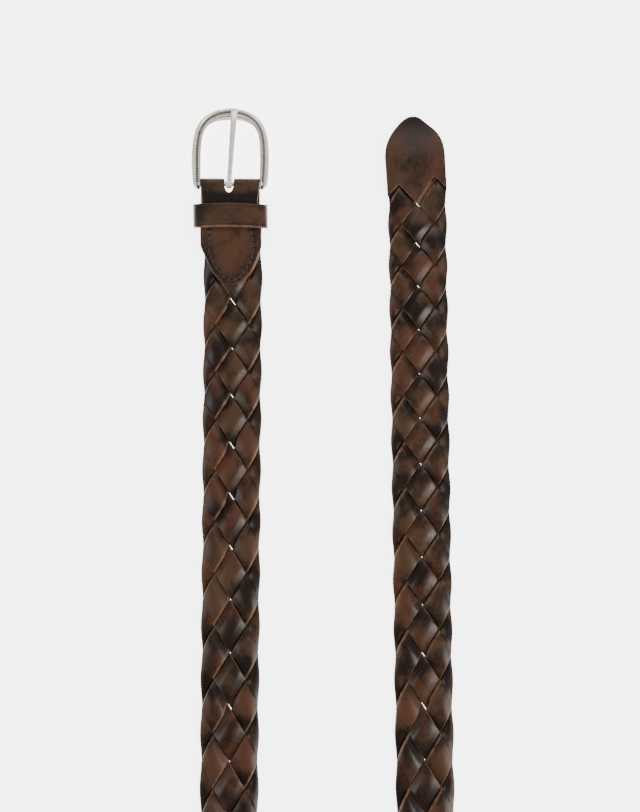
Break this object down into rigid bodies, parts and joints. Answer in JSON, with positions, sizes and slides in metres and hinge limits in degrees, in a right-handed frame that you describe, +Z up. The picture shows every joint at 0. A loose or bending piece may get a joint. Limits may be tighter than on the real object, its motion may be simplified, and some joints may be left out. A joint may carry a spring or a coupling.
{
  "type": "braided leather belt",
  "caption": "Braided brown leather belt with a rounded silver buckle, keeper loop and pointed tip, lying in an open U.",
  "frame": {"origin": "middle of the belt's box, on the surface that it lies on", "axes": "+Y along the legs towards the buckle and the tip, +Z up out of the belt's front face, +X from the buckle's leg to the tip's leg"},
  "size_m": [0.1596, 0.5408, 0.0356],
  "materials": {
    "silver_metal": "polished pale silver, darkened in the groove",
    "smooth_leather": "smooth dark brown leather, waxed",
    "braided_leather": "burnished dark brown strips with paler cut edges",
    "dark_thread": "matt black waxed stitching"
  },
  "bodies": {
    "belt": {"buckle_tab": "smooth_leather", "keeper_loop": "smooth_leather", "strand_1": "braided_leather", "strand_2": "braided_leather", "strand_3": "braided_leather", "strand_4": "braided_leather", "tip_tab": "smooth_leather"},
    "frame": {"buckle_frame": "silver_metal"},
    "prong": {"buckle_prong": "silver_metal"}
  },
  "joints": [
    {"name": "frame_hinge", "type": "hinge", "parent": "belt", "child": "frame", "pos_m": [-0.05596, 0.22352, 0.0051], "axis": [0.9999, -0.0105, 0], "range_deg": [0, 50]},
    {"name": "prong_hinge", "type": "hinge", "parent": "frame", "child": "prong", "pos_m": [-0.05596, 0.22352, 0.0051], "axis": [0.9999, -0.0105, 0], "range_deg": [0, 70]}
  ]
}
